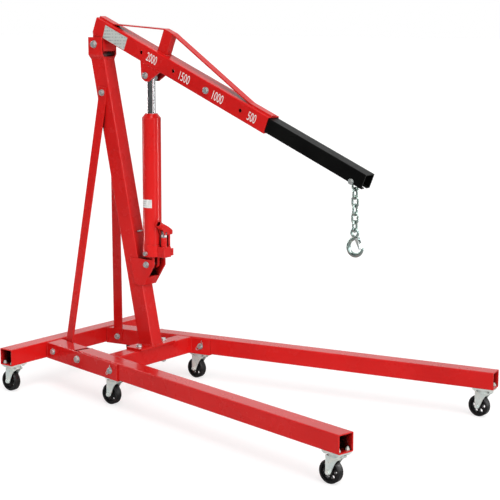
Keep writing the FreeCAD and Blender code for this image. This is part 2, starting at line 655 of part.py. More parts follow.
def load_hook(eye):
    """A forged hook: a round eye, a thick bowl open to the front, and a tapered tip."""
    wire, bore = size("hook_wire"), size("hook_eye")
    ring = Part.makeTorus((bore + wire) / 2, wire / 2, Vector(), Y)
    bowl = Vector(2, 0, -(bore / 2 + wire) - 33)
    # Round the bowl from the neck to the tip: angle, distance from its centre, radius of the steel.
    stations = [(96, 31, 6.0), (130, 29, 7.0), (170, 27.5, 7.5), (220, 27, 8.0), (270, 27, 8.0),
                (320, 28, 6.5), (356, 31, 4.0)]
    centres, sections = [], []
    for angle, distance, radius in stations:
        turn = math.radians(angle)
        out = Vector(math.cos(turn), 0, math.sin(turn))
        centres.append(bowl + out * distance)
        sections.append(Part.Wire([Part.makeCircle(radius, centres[-1], out.cross(Y))]))
    neck_top = Part.Wire([Part.makeCircle(6.5, Vector(0, 0, -(bore / 2 + 2)), Z * -1)])
    neck = Part.makeLoft([neck_top, sections[0]], True, False)
    curve = Part.makeLoft(sections, True, False)
    tip = Part.makeSphere(stations[-1][2], centres[-1])
    lug_centre = latch_hinge()
    lug = Part.makeCylinder(6.5, 11, lug_centre - Y * 5.5, Y)
    eye_bore = Part.makeCylinder(bore / 2, 4 * wire, Y * (-2 * wire), Y)
    pin_bore = Part.makeCylinder(2.1, 4 * wire, lug_centre - Y * (2 * wire), Y)
    thing = doc.addObject("Part::Feature", "load_hook")
    thing.Shape = ring.fuse([neck, curve, tip]).cut(eye_bore).fuse(lug).cut(pin_bore)
    return finish(thing, "load_hook", frame(eye))


def latch_hinge():
    """Where the latch turns, from the middle of the hook's eye."""
    return Vector(size("latch_along"), 0, -(size("hook_eye") / 2 + size("hook_wire") + size("latch_drop")))


def hook_latch(eye):
    """A sprung strip that closes the hook's mouth, folded over its lug and pinned."""
    wide, inside = size("latch_width"), size("latch_inside")
    hinge, reach = latch_hinge(), Vector(25.6, 0, -54)
    along = (reach - hinge).normalize()
    square = along.cross(Y)
    root, end = 6.0, 2.5
    corners = [hinge - square * root, hinge + square * root, reach + square * end, reach - square * end]
    whole = Part.Face(Part.makePolygon(corners + corners[:1])).extrude(Y * wide)
    whole.translate(Y * (-wide / 2))
    whole = whole.fuse(Part.makeCylinder(root, wide, hinge - Y * (wide / 2), Y))
    fold = 80
    slot = Part.makeBox(fold, inside, fold, hinge + Vector(-fold / 2, -inside / 2, -14))
    pin = Part.makeCylinder(2.0, wide + 3, hinge - Y * (wide / 2 + 1.5), Y)
    thing = doc.addObject("Part::Feature", "hook_latch")
    thing.Shape = whole.cut(slot).fuse(pin).removeSplitter()
    return finish(thing, "hook_latch", frame(eye))


# ---- ram and pump -----------------------------------------------------------------------
def turned(label, outline, placement):
    """A piece turned about Z from an outline of radius and height formulas."""
    body = new_body(label)
    sketch = new_sketch(body, "XZ_Plane")
    polygon(sketch, outline)
    feature = body.newObject("PartDesign::Revolution", f"{label}_turn")
    feature.Profile = sketch
    feature.ReferenceAxis = (sketch, ["V_Axis"])
    return finish(body, label, placement)


def ram_cylinder():
    outline = rectangle("cylinder / 2 - cylinder_wall", "cylinder / 2", "ram_base_top", "cylinder_top")
    return turned("ram_cylinder", outline, RAM_FRAME)


def ram_gland():
    """The screwed cap that guides the rod, with a sloping shoulder."""
    bore, outer, screwed = "rod / 2 + fit", "cylinder / 2", "cylinder / 2 - cylinder_wall"
    return turned("ram_gland",
                  [(bore, "cylinder_top - 30"), (screwed, "cylinder_top - 30"), (screwed, "cylinder_top"),
                   (outer, "cylinder_top"), (outer, "cylinder_top + 3"), (f"{outer} - 10", "gland_top - 4"),
                   (f"{outer} - 12", "gland_top"), (bore, "gland_top")], RAM_FRAME)


def ram_rod():
    """The chromed rod with a flat eye on top, between the boom's ears."""
    shank = rod("ram_rod_shank", "rod / 2", f"{RAM_REACH - 12} - rod_start", (0, 0, "rod_start"))
    eye = rod("ram_rod_eye", "rod_eye / 2", "rod_eye_width", (0, "rod_eye_width / 2", RAM_REACH), Y * -1)
    bore_start = (0, "rod_eye_width", RAM_REACH)
    bore = rod("ram_rod_bore", "ram_bolt / 2 + 1", "2 * rod_eye_width", bore_start, Y * -1)
    return finish(cut("ram_rod", fused("ram_rod_whole", shank, eye), bore), "ram_rod", RAM_FRAME)


def ram_base():
    """The cast foot of the ram: two lugs on the base bolt, the pump's block and the link's clevis."""
    ring = rod("ram_base_ring", "cylinder / 2 + 3", "ram_base_top - ram_base_low", (0, 0, "ram_base_low"))
    boss = block("ram_base_boss", "pump_out + 18", "40", "40", (0, "plunger_side - 20", "ram_base_low"))
    clevis = block("ram_base_clevis", "link_bar + 16", "42", "28",
                   ("pump_out - link_bar / 2 - 8", "plunger_side - 2", "ram_base_low + 3"))
    barrel = rod("ram_base_barrel", "plunger", "76", ("pump_out", "plunger_side", "ram_base_low"))
    lugs = []
    for number, start in enumerate(("0 - lug_width - lug_out", "lug_out")):
        foot = rod(f"ram_base_lug_{number}", "18", "lug_width", (0, f"{start} + lug_width", 0), Y * -1)
        stem = block(f"ram_base_stem_{number}", "36", "lug_width", "ram_base_low + 2", ("0 - 18", start, 0))
        lugs += [foot, stem]
    whole = fused("ram_base_whole", ring, boss, clevis, barrel, *lugs)
    pump_start = ("pump_out", "plunger_side", "ram_base_low + 9")
    pin_start = ("pump_out - 30", "link_side", "link_low")
    valve_start = ("valve_along", "0 - cylinder / 2 - 10", "valve_height")
    bores = fused("ram_base_bores",
                  rod("ram_base_bolt_bore", "ram_bolt / 2 + fit", "90", (0, 45, 0), Y * -1),
                  rod("ram_base_pump_bore", "plunger / 2 + fit", "80", pump_start),
                  rod("ram_base_pin_bore", "link_pin / 2 + fit", "60", pin_start, X),
                  rod("ram_base_valve_bore", "valve_stem / 2 + fit", "30", valve_start, Y))
    slot = block("ram_base_link_slot", "link_bar + 1", "34", "60",
                 ("pump_out - link_bar / 2 - running_gap", "link_side - 12", "ram_base_low + 6"))
    drilled = cut("ram_base_drilled", whole, bores)
    return finish(cut("ram_base", drilled, slot), "ram_base", RAM_FRAME)


def pump_link():
    """The upright link from the pump block to the lever's end, with its two pins."""
    body = new_body("pump_link_bar")
    half = "link_bar / 2"
    pad(body, "YZ_Plane", "link_bar",
        rectangle(f"link_side - {half}", f"link_side + {half}", "link_low - 6", "link_high + 6"))
    low_pin = rod("pump_link_low_pin", "link_pin / 2", "36", ("0 - 18", "link_side", "link_low"), X)
    high_pin = rod("pump_link_high_pin", "link_pin / 2", "30", ("0 - 15", "link_side", "link_high"), X)
    place = RAM_FRAME.multiply(frame(Vector(size("pump_out"), 0, 0)))
    return finish(fused("pump_link_whole", body, low_pin, high_pin), "pump_link", place)


def pump_lever():
    """Two side plates and the handle's socket, rocking about the link's upper pin."""
    body = new_body("pump_lever_plates")
    low, high = "link_high - 7", "link_high + 14"
    pad(body, "YZ_Plane", "lever_width",
        [("link_side + 8", low), ("link_side + 11", f"{low} + 4"), ("link_side + 11", f"{high} - 6"),
         ("link_side + 5", high), ("link_side - 16", f"{high} + 13"), ("link_side - 38", f"{high} + 24"),
         ("link_side - 46", f"{high} + 6"), ("link_side - 34", low)])
    pocket(body, "YZ_Plane", "lever_inside",
           [("link_side + 20", f"{low} - 10"), ("link_side + 20", f"{high} + 20"),
            ("link_side - 60", f"{high} + 50"), ("link_side - 60", f"{low} - 10")])
    pocket(body, "YZ_Plane", "3 * lever_width",
           circles=[("link_side", "link_high", "link_pin / 2 + fit"), ("plunger_side", "link_high", "4.5")])
    out = Rotation(X, 90 - size("socket_tilt")).multVec(Z)
    mouth_side, mouth_height = "link_side - 34", f"{high} + 9.4"
    socket_start = (0, mouth_side, mouth_height)
    socket = rod("pump_lever_socket", "socket_outside / 2", "socket_length", socket_start, out)
    bore_start = (0, f"{mouth_side} - socket_floor * cos(socket_tilt)",
                  f"{mouth_height} + socket_floor * sin(socket_tilt)")
    bore = rod("pump_lever_bore", "socket_bore / 2", "socket_length", bore_start, out)
    place = RAM_FRAME.multiply(frame(Vector(size("pump_out"), 0, 0)))
    return finish(cut("pump_lever", fused("pump_lever_whole", body, socket), bore), "pump_lever", place)


def pump_plunger():
    """The polished plunger with the cross pin that the lever lifts."""
    shank = rod("pump_plunger_shank", "plunger / 2", "78", (0, 0, "link_high - 72"))
    pin = rod("pump_plunger_pin", "2.5", "28", ("0 - 14", 0, "link_high"), X)
    place = RAM_FRAME.multiply(frame(Vector(size("pump_out"), size("plunger_side"), 0)))
    return finish(fused("pump_plunger", shank, pin), "pump_plunger", place)


def release_valve():
    """The screw that lets the boom down, with a slotted head on the ram's right side."""
    stem = rod("release_valve_stem", "valve_stem / 2", "18", (0, 0, "0 - 12"))
    head = rod("release_valve_head", "valve_head / 2", "10", (0, 0, 3))
    slot = block("release_valve_slot", "20", "2.5", "5", ("0 - 10", "0 - 1.25", 10))
    seat = Vector(size("valve_along"), -size("cylinder") / 2 - 3, size("valve_height"))
    whole = cut("release_valve", fused("release_valve_whole", stem, head), slot)
    return finish(whole, "release_valve", RAM_FRAME.multiply(Placement(seat, Rotation(Z, Y * -1))))


# ---- casters ----------------------------------------------------------------------------
def caster_places():
    """The six swivel axes, each with the rotation of the tube above it."""
    places = {}
    out = size("crossbar_length") / 2 - size("caster_inset")
    for name, side in SIDES.items():
        turn = side * size("splay")
        middle = size("crossbar_front") - size("tube") / 2
        places[f"rear_{name}"] = frame(Vector(middle, side * out, 0), Z, 90)
        places[f"middle_{name}"] = frame(rail_point(side, size("rail_caster_along"), 0), Z, turn)
        along = size("leg_front_along") - size("caster_inset")
        places[f"front_{name}"] = frame(rail_point(side, along, 0), Z, turn)
    return places


def caster_mount(name, top, nut, placement):
    """A caster's fixed top plate and upper race, and its four bolts."""
    plate = block(f"{name}_plate", "plate_along", "plate_across", f"{top} - caster_top",
                  ("0 - plate_along / 2", "0 - plate_across / 2", "caster_top"))
    race = rod(f"{name}_race", "race / 2", "4", (0, 0, "caster_top - 4"))
    kingpin = rod(f"{name}_kingpin", "kingpin / 2", "16", (0, 0, "caster_top - 16"))
    button = rod(f"{name}_button", "kingpin / 2 + 4", "3", (0, 0, "caster_top - 19"))
    solid = fused(f"{name}_solid", plate, race, kingpin, button)
    corner, shank_radius = "0.9 * caster_bolt", "caster_bolt / 2"
    bores, bolts = [], []
    for number, (along, across) in enumerate(CASTER_BOLTS):
        bore_start = (along, across, "caster_top - 20")
        bores.append(rod(f"{name}_bore_{number}", f"{shank_radius} + fit", "60", bore_start))
        head = hexagon(f"{name}_head_{number}", corner, "5", (along, across, "caster_top - 5"), outer="low")
        reach = f"{top} + 15 - caster_top" if nut else f"{top} + rail_floor - caster_top"
        parts = [head, rod(f"{name}_shank_{number}", shank_radius, reach, (along, across, "caster_top"))]
        if nut:
            parts.append(hexagon(f"{name}_nut_{number}", corner, "6", (along, across, f"{top} + tube_wall")))
        bolts.append(fused(f"{name}_bolt_{number}", *parts))
    drilled = cut(f"{name}_drilled", solid, fused(f"{name}_bores", *bores))
    whole = gathered(name, [drilled] + bolts)
    whole.Placement = placement
    return whole


def caster_fork(label, centre):
    """The swivelling fork with its lower race and the wheel's axle bolt."""
    race = rod(f"{label}_race", "race / 2", "4.5", (0, 0, "caster_top - 9"))
    crown = rod(f"{label}_crown", "race / 2 + 1", "4", (0, 0, "caster_top - 13"))
    cheeks = new_body(f"{label}_cheeks")
    back, front, high = "0 - 30", "27", "caster_top - 9"
    pad(cheeks, "XZ_Plane", "wheel_width + 10",
        [(back, high), (back, "wheel / 2"), ("0 - trail - 8", "wheel / 2 - 7"),
         ("0 - trail", "wheel / 2 - 10"), ("0 - trail + 8", "wheel / 2 - 6"), (4, f"{high} - 26"),
         (14, f"{high} - 13"), (front, f"{high} - 6"), (front, high)])
    pocket(cheeks, "XZ_Plane", "wheel_width + 4",
           rectangle(f"2 * ({back})", f"2 * {front}", "0 - 5", f"{high} - 3"))
    bore = rod(f"{label}_bore", "kingpin / 2 + fit", "60", (0, 0, "caster_top - 40"))
    pin_room = rod(f"{label}_pin_room", "kingpin / 2 + 5", "16", (0, 0, "caster_top - 28.5"))
    pressed = fused(f"{label}_pressed", race, crown, cheeks)
    fork = cut(f"{label}_fork", pressed, fused(f"{label}_room", bore, pin_room))
    side, height, corner = "(wheel_width / 2 + 5)", "wheel / 2", "0.8 * axle"
    shank = rod(f"{label}_axle_shank", "axle / 2", f"2 * {side} + 6", ("0 - trail", side, height), Y * -1)
    head = hexagon(f"{label}_axle_head", corner, "4", ("0 - trail", f"{side} + 4", height), Y * -1)
    nut = hexagon(f"{label}_axle_nut", corner, "6", ("0 - trail", f"0 - {side}", height), Y * -1)
    axle_bore = rod(f"{label}_axle_bore", "axle / 2", "90", ("0 - trail", 45, height), Y * -1)
    drilled = cut(f"{label}_drilled", fork, axle_bore)
    return finish(gathered(label, (drilled, fused(f"{label}_axle", shank, head, nut))), label, frame(centre))


def caster_wheel(label, centre):
    """A moulded wheel: rim, thin web with six round holes, and hub, turned about its axle."""
    body = new_body(label)
    sketch = new_sketch(body, "XZ_Plane")
    bore, hub, web = "axle / 2 + fit", "wheel_hub / 2", "wheel_web / 2"
    rim, rim_root, tread = "wheel_rim", "wheel_rim - 2", "wheel / 2"
    half = "wheel_width / 2"
    lower = [(bore, f"0 - {half} - 1"), (hub, f"0 - {half} - 1"), (hub, f"0 - {web}"),
             (rim_root, f"0 - {web}"), (rim, f"1 - {half}"), (f"{tread} - 3", f"0 - {half}"),
             (tread, f"4 - {half}")]
    upper = [(tread, f"{half} - 4"), (f"{tread} - 3", half), (rim, f"{half} - 1"), (rim_root, web),
             (hub, web), (hub, f"{half} + 1"), (bore, f"{half} + 1")]
    polygon(sketch, lower + upper)
    feature = body.newObject("PartDesign::Revolution", f"{label}_turn")
    feature.Profile = sketch
    feature.ReferenceAxis = (sketch, ["V_Axis"])
    doc.recompute()
    hole_sketch = new_sketch(body, "XY_Plane")
    circle(hole_sketch, "wheel_hole_out", 0, "wheel_hole / 2")
    hole = body.newObject("PartDesign::Pocket", f"{label}_hole")
    hole.Profile = hole_sketch
    hole.SideType = "Symmetric"
    bind(hole, Length="wheel_width")
    around = body.newObject("PartDesign::PolarPattern", f"{label}_holes")
    around.Originals = [hole]
    around.Axis = (hole_sketch, ["N_Axis"])
    around.Angle = 360
    around.Occurrences = 6
    body.Tip = around
    place = Placement(centre + Vector(-size("trail"), 0, size("wheel") / 2), Rotation(X, 90))
    return finish(body, label, place)


# ---- assembly ---------------------------------------------------------------------------
rear_crossbar()
front_crossbeam()
mast_foot_plate()
mast()
mast_head_bracket()
ram_base_bracket()
handle_clip()
for side_name, side_sign in SIDES.items():
    rail(f"rail_{side_name}", side_sign)
    brace(f"brace_{side_name}", side_sign)
    leg(f"leg_{side_name}", side_sign)
boom()
boom_heel()
boom_pivot_tube()
boom_truss()
ram_ears()
boom_extension()
hook_eye_centre = chain()
load_hook(hook_eye_centre)
hook_latch(hook_eye_centre)
ram_cylinder()
ram_gland()
ram_rod()
ram_base()
pump_link()
pump_lever()
pump_plunger()
release_valve()


def across(origin, grip):
    """A placement for a bolt that runs from the hoist's right to its left."""
    return Placement(origin + Vector(0, -grip / 2, 0), Rotation(Z, Y))


def fasteners():
    """The bolts and pins that hold the hoist together."""
    half_depth = size("mast_depth") / math.cos(math.radians(size("lean"))) / 2
    brace_top = Vector(mast_front_at(size("brace_top_height")) - half_depth, 0, size("brace_top_height"))
    grip = size("mast_width") + 2 * size("brace_thick")
    top_bolt = bolt("brace_top_bolt", "brace_bolt", "(mast_width + 2 * brace_thick)", across(brace_top, grip))
    grip = size("head_inside") + 2 * size("head_plate")
    pivot = bolt("boom_pivot_bolt", "pivot_bolt", "(head_inside + 2 * head_plate)", across(PIVOT, grip))
    grip = size("mast_width") + 2 * size("cheek")
    base_bolt = bolt("ram_base_bolt", "ram_bolt", "(mast_width + 2 * cheek)", across(RAM_FOOT, grip))
    ram_top = stub_bolt("ram_top_bolt", "ram_bolt", "boom", "ear_thick", across(RAM_HEAD, size("boom")))
    hole_place = Vector(size("first_hole") + 2 * size("hole_pitch"), 0, size("boom_axis"))
    slide_bolt = stub_bolt("extension_bolt", "brace_bolt", "boom", "boom_wall",
                           across(BOOM_FRAME.multVec(hole_place), size("boom")))
    chain_bolt = bolt("chain_bolt_set", "chain_bolt", "extension", across(CHAIN_TOP, size("extension")))
    singles = {"brace_top_bolt": top_bolt, "boom_pivot_bolt": pivot, "ram_base_bolt": base_bolt,
               "ram_top_bolt": ram_top, "extension_bolt": slide_bolt, "chain_bolt": chain_bolt}
    for label, thing in singles.items():
        finish(thing, label)
    outside = size("rail_inside") + 2 * size("rail_wall")
    pivots, locks, brace_bolts, feet = [], [], [], []
    for name, side in SIDES.items():
        turn = Rotation(Z, side * size("splay")).multiply(Rotation(Z, Y))
        square = Rotation(Z, side * size("splay")).multVec(Y)

        def crossing(along, height, inner_extra=0):
            start = outside / 2 + (inner_extra if side > 0 else 0)
            return Placement(rail_point(side, along, height) - square * start, turn)

        middle = size("tube_low") + size("leg_gap") + size("tube") / 2
        pivots.append(bolt(f"leg_pivot_bolt_{name}", "leg_bolt", "(rail_inside + 2 * rail_wall)",
                           crossing(size("leg_pivot_along"), middle)))
        locks.append(stub_bolt(f"leg_lock_pin_{name}", "brace_bolt", "(rail_inside + 2 * rail_wall)",
                               "rail_wall", crossing(size("lock_along"), size("pin_height"))))
        brace_bolts.append(bolt(f"brace_bottom_bolt_{name}", "brace_bolt",
                                "(rail_inside + 2 * rail_wall + brace_thick)",
                                crossing(size("brace_bolt_along"), size("pin_height"), size("brace_thick"))))
        foot_along = size("crossbeam_front") - size("foot_bolt_back")
        foot_place = Vector(foot_along, side * size("foot_bolt_out"), FOOT_TOP)
        feet.append(bolt(f"mast_foot_bolt_{name}", "foot_bolt", "(foot_thick + tube)",
                         Placement(foot_place, Rotation(Z, Z * -1))))
    finish(gathered("leg_pivot_bolts", pivots), "leg_pivot_bolts")
    finish(gathered("leg_lock_pins", locks), "leg_lock_pins")
    finish(gathered("brace_bottom_bolts", brace_bolts), "brace_bottom_bolts")
    finish(gathered("mast_foot_bolts", feet), "mast_foot_bolts")


fasteners()

base_mounts = []
for place_name, swivel in caster_places().items():
    caster_fork(f"fork_{place_name}", swivel.Base)
    caster_wheel(f"wheel_{place_name}", swivel.Base)
    if place_name.startswith("front"):
        mount = caster_mount(f"mount_{place_name}", "(tube_low + leg_gap)", True, swivel)
        finish(mount, place_name.replace("front", "leg_caster_mount"))
    elif place_name.startswith("middle"):
        base_mounts.append(caster_mount(f"mount_{place_name}", "(tube_low - rail_floor)", False, swivel))
    else:
        base_mounts.append(caster_mount(f"mount_{place_name}", "tube_low", True, swivel))
finish(gathered("base_caster_mounts", base_mounts), "base_caster_mounts")

doc.recompute()
failed = [item.Name for item in doc.Objects if {"Invalid", "Error"} & set(item.State)]
if failed:
    raise ValueError(f"failed objects: {failed}")
for part in finished:
    if part.Shape.isNull() or not part.Shape.isValid():
        raise ValueError(f"{part.Label}: null or invalid shape")

os.makedirs("parts", exist_ok=True)
for part in finished:
    part.Shape.exportStep(f"parts/{part.Label}.step")
print(len(finished), "sub-parts written")
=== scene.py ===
import json
import math
import random

import bmesh
import bpy
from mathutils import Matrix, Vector


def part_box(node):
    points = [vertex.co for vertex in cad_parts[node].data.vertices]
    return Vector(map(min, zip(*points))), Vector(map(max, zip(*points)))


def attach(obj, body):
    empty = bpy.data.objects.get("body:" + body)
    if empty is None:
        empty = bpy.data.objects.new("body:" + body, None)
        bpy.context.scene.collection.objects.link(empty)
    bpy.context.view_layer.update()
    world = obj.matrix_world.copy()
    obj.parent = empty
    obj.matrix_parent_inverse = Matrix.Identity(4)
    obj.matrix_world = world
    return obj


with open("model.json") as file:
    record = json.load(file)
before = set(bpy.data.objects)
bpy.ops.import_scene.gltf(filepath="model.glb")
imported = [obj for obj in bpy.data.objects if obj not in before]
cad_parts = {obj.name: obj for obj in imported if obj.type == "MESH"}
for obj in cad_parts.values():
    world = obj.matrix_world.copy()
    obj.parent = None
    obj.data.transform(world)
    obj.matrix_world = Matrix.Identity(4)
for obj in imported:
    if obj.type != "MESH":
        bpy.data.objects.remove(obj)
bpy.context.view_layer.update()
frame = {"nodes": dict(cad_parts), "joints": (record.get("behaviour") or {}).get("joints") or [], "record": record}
random.seed(7)
nodes = frame["nodes"]
joints = {joint["name"]: joint for joint in frame["joints"]}
scene = bpy.context.scene
Y, Z = Vector((0, 1, 0)), Vector((0, 0, 1))
MM = 0.001
HANDS = {"right": -1, "left": 1}    # the sign of each side along Y

# Millimetres along a weld bead: the spacing of its puddles and of the mesh's rings.
PUDDLE_PITCH, RING_STEP = 3.1, 0.75

# Millimetres on the base and the mast.
RAIL_HALF = 37.5                    # half a rail's width
MAST_DEPTH = 71.6                   # the mast's depth, cut level
BEAD_START = 2.0                    # how far above a tube's lower edge a bead starts
BRACKET_RUN = 33.0                  # a bead's length under each cheek of the ram's bracket
PIN_PLACE = (223.0, -47.6, -2.0)    # a lock pin's head from the leg's pivot: along, side, up

# Millimetres from the boom's pivot, along the boom and up from it.
BOOM_HALF = 32.0                    # half the boom's width
BOOM_MIDDLE = 64.0                  # the height of the numbers' middle
BEAD_TOP, BEAD_UNDER = 98.6, 33.9   # the height of the beads on top of the boom and under it
BEAD_SIDE = 31.4                    # beads under the boom, from its middle
STRAP_HALF = 15.4
STRAP_ENDS = ((-28, 42), (772, 868))
POST_HALF = 15.3
POST_RUN = (290.6, 336.4)
EARS_RUN = (241, 341)
HEEL_RUN = (-28, 27)
LABEL_CORNERS = ((26, 38), (146, 38), (146, 89), (22, 89))
FIRST_HOLE, HOLE_PITCH = 231, 172.5
NUMBER_AFTER_HOLE = 58
DIGIT_WIDTH, DIGIT_HEIGHT = 13.0, 33.0


# ---- node helpers -----------------------------------------------------------------------
class Shader:
    """A material under construction, with short calls for the nodes it needs."""

    def __init__(self, name):
        self.material = bpy.data.materials.new(name)
        self.material.use_nodes = True
        self.tree = self.material.node_tree
        self.surface = self.tree.nodes["Principled BSDF"]
        place = self.add("ShaderNodeTexCoord")
        self.place = place.outputs["Object"]

    def add(self, kind, **settings):
        node = self.tree.nodes.new(kind)
        for key, value in settings.items():
            setattr(node, key, value)
        return node

    def link(self, source, target):
        self.tree.links.new(source, target)

    def fill(self, socket, value):
        if isinstance(value, bpy.types.NodeSocket):
            self.link(value, socket)
        else:
            socket.default_value = value

    def stretched(self, scale):
        """Object coordinates scaled by a different factor along each axis."""
        node = self.add("ShaderNodeMapping")
        self.link(self.place, node.inputs["Vector"])
        node.inputs["Scale"].default_value = scale
        return node.outputs["Vector"]

    def noise(self, scale, detail=3.0, rough=0.5, place=None):
        node = self.add("ShaderNodeTexNoise")
        self.link(place or self.place, node.inputs["Vector"])
        node.inputs["Scale"].default_value = scale
        node.inputs["Detail"].default_value = detail
        node.inputs["Roughness"].default_value = rough
        return node.outputs["Fac"]

    def math(self, operation, first, second=0.0):
        node = self.add("ShaderNodeMath", operation=operation)
        self.fill(node.inputs[0], first)
        self.fill(node.inputs[1], second)
        return node.outputs[0]

    def remap(self, value, low, high, to_low=0.0, to_high=1.0, smooth=False):
        node = self.add("ShaderNodeMapRange", interpolation_type="SMOOTHSTEP" if smooth else "LINEAR")
        self.fill(node.inputs["Value"], value)
        for key, number in (("From Min", low), ("From Max", high), ("To Min", to_low), ("To Max", to_high)):
            node.inputs[key].default_value = number
        return node.outputs["Result"]

    def mix(self, factor, first, second):
        node = self.add("ShaderNodeMix", data_type="RGBA")
        self.fill(node.inputs["Factor"], factor)
        for socket, value in ((node.inputs[6], first), (node.inputs[7], second)):
            self.fill(socket, (*value, 1.0) if isinstance(value, tuple) and len(value) == 3 else value)
        return node.outputs[2]

    def rounded(self, radius):
        """The normal with edges rounded off, and a mask that is 1 along those edges."""
        node = self.add("ShaderNodeBevel", samples=6)
        node.inputs["Radius"].default_value = radius
        true = self.add("ShaderNodeNewGeometry").outputs["Normal"]
        dot = self.add("ShaderNodeVectorMath", operation="DOT_PRODUCT")
        self.link(node.outputs["Normal"], dot.inputs[0])
        self.link(true, dot.inputs[1])
        return node.outputs["Normal"], self.remap(dot.outputs["Value"], 0.995, 0.86)

    def open_air(self, reach):
        """1 in the open, falling to 0 in corners and inside tubes."""
        node = self.add("ShaderNodeAmbientOcclusion", samples=8)
        node.inputs["Distance"].default_value = reach
        return node.outputs["AO"]

    def bump(self, height, strength, distance, normal=None):
        node = self.add("ShaderNodeBump")
        self.link(height, node.inputs["Height"])
        node.inputs["Strength"].default_value = strength
        node.inputs["Distance"].default_value = distance
        if normal is not None:
            self.link(normal, node.inputs["Normal"])
        return node.outputs["Normal"]

    def finish(self, **sockets):
        for key, value in sockets.items():
            self.fill(self.surface.inputs[key.replace("_", " ")], value)
        return self.material


def red_paint():
    """Glossy red enamel over steel: orange peel, soft colour drift, small chips on the edges, a painted highlight
    along the edges and painted shade in corners and inside tubes.
    """
    s = Shader("red_enamel")
    normal, edge = s.rounded(0.0028)
    drift = s.remap(s.noise(2.3, 2.0), 0.35, 0.68, 0.0, 1.0, True)
    base = s.mix(drift, (0.54, 0.0075, 0.0070), (0.63, 0.0105, 0.0095))
    # Painted highlight: a lighter pink along the rounded edges, broken up by noise.
    thin = s.math("MULTIPLY", edge, s.remap(s.noise(26.0, 4.0), 0.40, 0.62, 0.25, 0.9))
    base = s.mix(s.math("MULTIPLY", thin, 0.42), base, (0.80, 0.10, 0.075))
    chip = s.math("MULTIPLY", edge, s.remap(s.noise(170.0, 5.0, 0.7), 0.665, 0.70))
    base = s.mix(chip, base, (0.20, 0.17, 0.16))
    # Painted shade: the colour falls to near black where the ambient occlusion is low, in corners and inside the
    # tubes.
    base = s.mix(s.remap(s.open_air(0.12), 0.50, 0.16, 0.0, 1.0, True), base, (0.016, 0.0015, 0.0015))
    dust = s.noise(7.0, 6.0, 0.65)
    rough = s.remap(dust, 0.3, 0.75, 0.20, 0.34)
    peel = s.noise(260.0, 2.0)
    wave = s.noise(38.0, 2.0)
    height = s.math("ADD", peel, s.math("MULTIPLY", wave, 0.8))
    bumped = s.bump(height, 0.10, 0.0006, normal)
    return s.finish(Base_Color=base, Roughness=rough, Normal=bumped, Coat_Weight=0.32, Coat_Roughness=0.06,
                    Specular_IOR_Level=0.12)


def black_paint():
    """Satin black enamel with a fine texture and faint handling marks."""
    s = Shader("black_enamel")
    normal, edge = s.rounded(0.0025)
    drift = s.remap(s.noise(5.0, 4.0), 0.3, 0.7, 0.0, 1.0, True)
    base = s.mix(drift, (0.0022, 0.0022, 0.0022), (0.0045, 0.0048, 0.0044))
    # Painted highlight: the edges are painted a lighter grey.
    base = s.mix(s.math("MULTIPLY", edge, 0.5), base, (0.040, 0.043, 0.038))
    streaks = s.noise(30.0, 4.0, 0.6, s.stretched((0.6, 6.0, 6.0)))
    rough = s.remap(streaks, 0.3, 0.7, 0.27, 0.42)
    bumped = s.bump(s.noise(420.0, 3.0), 0.12, 0.0005, normal)
    return s.finish(Base_Color=base, Roughness=rough, Normal=bumped, Specular_IOR_Level=0.09)


def zinc(name, tint, low, high, grain, metal=0.92):
    """Zinc plate: cool patches, stains and fine grain, with a painted highlight along the edges and painted shade
    in hollows, under heads and between chain links.
    """
    s = Shader(name)
    normal, edge = s.rounded(0.0008)
    cool = tuple(value * shade for value, shade in zip(tint, (0.86, 0.93, 0.97)))
    base = s.mix(s.remap(s.noise(60.0, 4.0), 0.35, 0.65, 0.0, 1.0, True), tint, cool)
    stain = s.remap(s.noise(220.0, 5.0, 0.7), 0.52, 0.75, 0.0, 0.45)
    base = s.mix(stain, base, tuple(value * 0.55 for value in tint))
    # Painted highlight: every edge is painted a brighter grey.
    base = s.mix(s.math("MULTIPLY", edge, 0.5), base, (0.86, 0.87, 0.86))
    # Painted shade: darker where the ambient occlusion is low, in hollows, under heads and between chain links.
    painted_recess_shade = s.remap(s.open_air(0.012), 0.75, 0.15, 0.0, 0.85, True)
    base = s.mix(painted_recess_shade, base, tuple(value * 0.10 for value in tint))
    rough = s.remap(s.noise(130.0, 5.0, 0.7), 0.3, 0.7, low, high)
    bumped = s.bump(s.noise(grain, 4.0, 0.6), 0.22, 0.0004, normal)
    return s.finish(Base_Color=base, Metallic=metal, Roughness=rough, Normal=bumped)


def chrome():
    """Ground and hard-chromed steel, with fine marks round the rod and an oil film."""
    s = Shader("hard_chrome")
    lines = s.noise(60.0, 3.0, 0.5, s.stretched((0.3, 0.3, 8.0)))
    base = s.mix(s.remap(s.noise(9.0, 3.0), 0.3, 0.7), (0.52, 0.53, 0.54), (0.60, 0.61, 0.62))
    rough = s.remap(lines, 0.3, 0.7, 0.07, 0.11)
    bumped = s.bump(lines, 0.006, 0.00005)
    return s.finish(Base_Color=base, Metallic=1.0, Roughness=rough, Normal=bumped)


def wheel_plastic():
    """Hard black moulding with a dusty, scuffed tread."""
    s = Shader("wheel_moulding")
    normal, edge = s.rounded(0.0012)
    drift = s.remap(s.noise(40.0, 5.0, 0.65), 0.35, 0.7)
    base = s.mix(drift, (0.0045, 0.0045, 0.005), (0.010, 0.010, 0.0105))
    # Painted highlight: the edges are painted a lighter grey.
    base = s.mix(s.math("MULTIPLY", edge, 0.55), base, (0.06, 0.06, 0.062))
    rough = s.remap(s.noise(95.0, 4.0), 0.3, 0.7, 0.26, 0.5)
    bumped = s.bump(s.noise(520.0, 3.0), 0.18, 0.0004, normal)
    return s.finish(Base_Color=base, Roughness=rough, Normal=bumped, Coat_Weight=0.1, Coat_Roughness=0.2,
                    Specular_IOR_Level=0.25)


